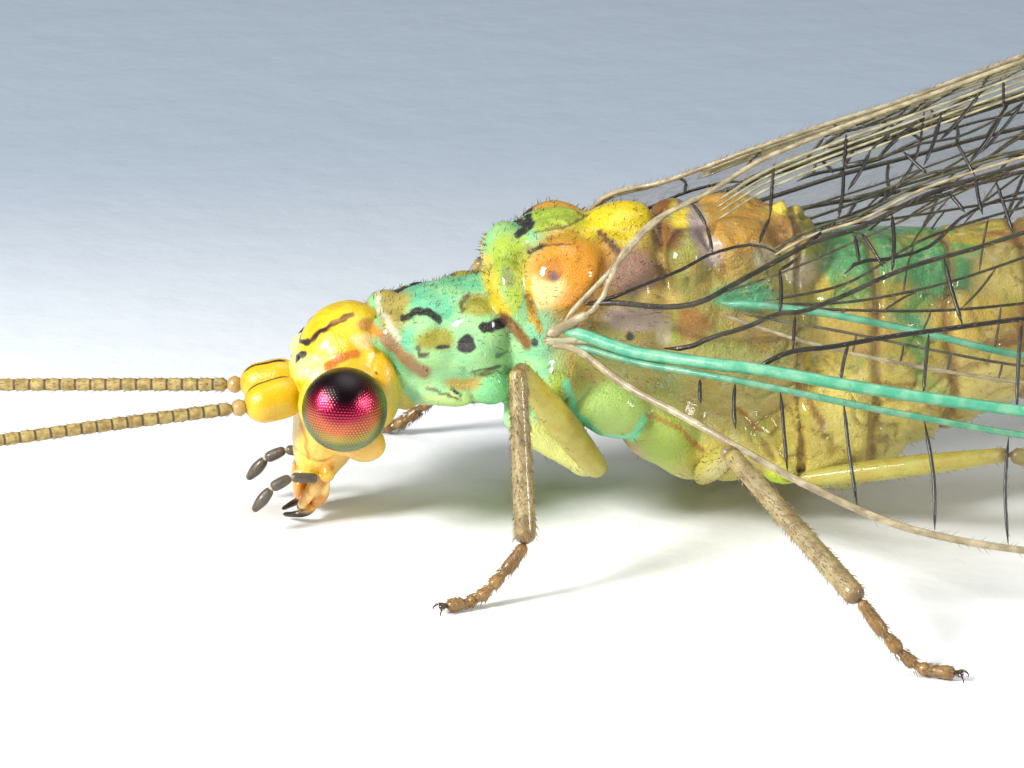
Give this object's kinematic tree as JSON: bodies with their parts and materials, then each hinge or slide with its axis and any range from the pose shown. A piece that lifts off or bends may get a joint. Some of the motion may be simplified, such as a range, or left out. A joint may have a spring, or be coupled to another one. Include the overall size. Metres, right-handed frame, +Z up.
{
  "type": "green lacewing",
  "caption": "Green lacewing at rest, long feelers spread forward and clear, netted wings held as a roof over its back, as a still life-size model.",
  "frame": {"origin": "middle of the footprint, on the floor under the six feet", "axes": "-X towards the head, +X towards the wing tips, -Y is the insect's left side, +Z up"},
  "size_m": [0.0292, 0.0092, 0.0055],
  "materials": {
    "head": "smooth, bright yellow with black marks",
    "mouth": "smooth, translucent amber",
    "palp": "satin, dark grey-brown",
    "eye": "mirror-smooth, deep ruby with a metallic sheen",
    "scape": "smooth, yellow with a dark line",
    "flagellum": "matt, tan with close dark rings",
    "pronotum": "satin, mint green with black marks",
    "mesothorax": "satin, yellow-green with brown marks",
    "metathorax": "satin, amber and light green",
    "abdomen": "soft, mottled olive and yellow-green",
    "coxa": "satin, pale lime",
    "leg": "finely haired, olive-tan",
    "wing": "clear and glossy, with green and black veins"
  },
  "bodies": {
    "root": {"head": "head", "mouthparts": "mouth", "palp_left": "palp", "palp_right": "palp", "eye_left": "eye", "eye_right": "eye", "scape_left": "scape", "scape_right": "scape", "flagellum_left_near": "flagellum", "flagellum_left_far": "flagellum", "flagellum_right_near": "flagellum", "flagellum_right_far": "flagellum", "prothorax": "pronotum", "mesothorax": "mesothorax", "metathorax": "metathorax", "abdomen": "abdomen", "front_left_coxa": "coxa", "middle_left_coxa": "coxa", "hind_left_coxa": "coxa", "front_right_coxa": "coxa", "middle_right_coxa": "coxa", "hind_right_coxa": "coxa", "front_left_femur": "leg", "front_left_tibia": "leg", "front_left_tarsus": "leg", "middle_left_femur": "leg", "middle_left_tibia": "leg", "middle_left_tarsus": "leg", "hind_left_femur": "leg", "hind_left_tibia": "leg", "hind_left_tarsus": "leg", "front_right_femur": "leg", "front_right_tibia": "leg", "front_right_tarsus": "leg", "middle_right_femur": "leg", "middle_right_tibia": "leg", "middle_right_tarsus": "leg", "hind_right_femur": "leg", "hind_right_tibia": "leg", "hind_right_tarsus": "leg", "forewing_left": "wing", "hindwing_left": "wing", "forewing_right": "wing", "hindwing_right": "wing"}
  },
  "joints": []
}
